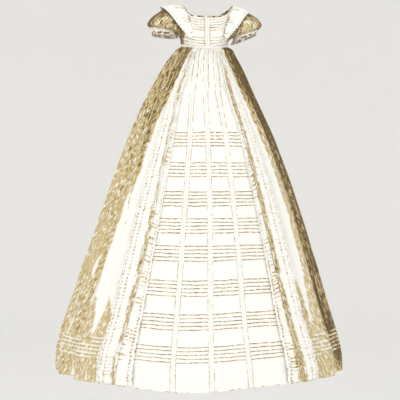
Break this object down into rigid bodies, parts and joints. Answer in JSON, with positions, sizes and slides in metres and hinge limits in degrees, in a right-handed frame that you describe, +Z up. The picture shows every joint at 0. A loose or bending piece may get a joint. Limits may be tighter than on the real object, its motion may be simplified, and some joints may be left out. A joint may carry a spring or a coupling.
{
  "type": "christening gown",
  "caption": "Long white cotton christening gown held open as if worn, with a tucked low-necked bodice, short puff sleeves and a full skirt with a tucked, ruffle-edged front panel.",
  "frame": {"origin": "the shoulder line, midway between the two neck corners, where the wearer's shoulders hold the gown up", "axes": "+Z up along the gown's length, from hem to neck; the front faces -Y; +X is to the viewer's right seen from in front, the wearer's left"},
  "size_m": [0.7756, 0.6342, 0.9919],
  "materials": {
    "cotton_lawn": "fine white cotton lawn, soft and slightly sheer, matt",
    "whitework_insertion": "openwork embroidered cotton insertion",
    "whitework_edging": "embroidered cotton edging with eyelets and a scalloped edge",
    "cotton_tape": "narrow folded cotton binding",
    "thread_button": "thread-covered button"
  },
  "bodies": {
    "root": {"skirt_column_1": "cotton_lawn", "skirt_column_2": "cotton_lawn", "skirt_column_3": "cotton_lawn", "skirt_column_4": "cotton_lawn", "skirt_side_left": "cotton_lawn", "skirt_side_right": "cotton_lawn", "skirt_back_left": "cotton_lawn", "skirt_back_right": "cotton_lawn", "bodice_front_left": "cotton_lawn", "bodice_front_right": "cotton_lawn", "bodice_back_left": "cotton_lawn", "bodice_back_right": "cotton_lawn", "sleeve_left": "cotton_lawn", "sleeve_right": "cotton_lawn", "skirt_strip_1": "whitework_insertion", "skirt_strip_2": "whitework_insertion", "skirt_strip_3": "whitework_insertion", "bodice_strip": "whitework_insertion", "sleeve_band_left": "whitework_insertion", "sleeve_band_right": "whitework_insertion", "heading_band_left": "whitework_insertion", "heading_band_right": "whitework_insertion", "ruffle_inner_left": "whitework_edging", "ruffle_inner_right": "whitework_edging", "ruffle_outer_left": "whitework_edging", "ruffle_outer_right": "whitework_edging", "robing_left": "whitework_edging", "robing_right": "whitework_edging", "sleeve_frill_left": "whitework_edging", "sleeve_frill_right": "whitework_edging", "neck_binding": "cotton_tape", "waist_binding": "cotton_tape", "button_1": "thread_button", "button_2": "thread_button", "button_3": "thread_button"}
  },
  "joints": []
}
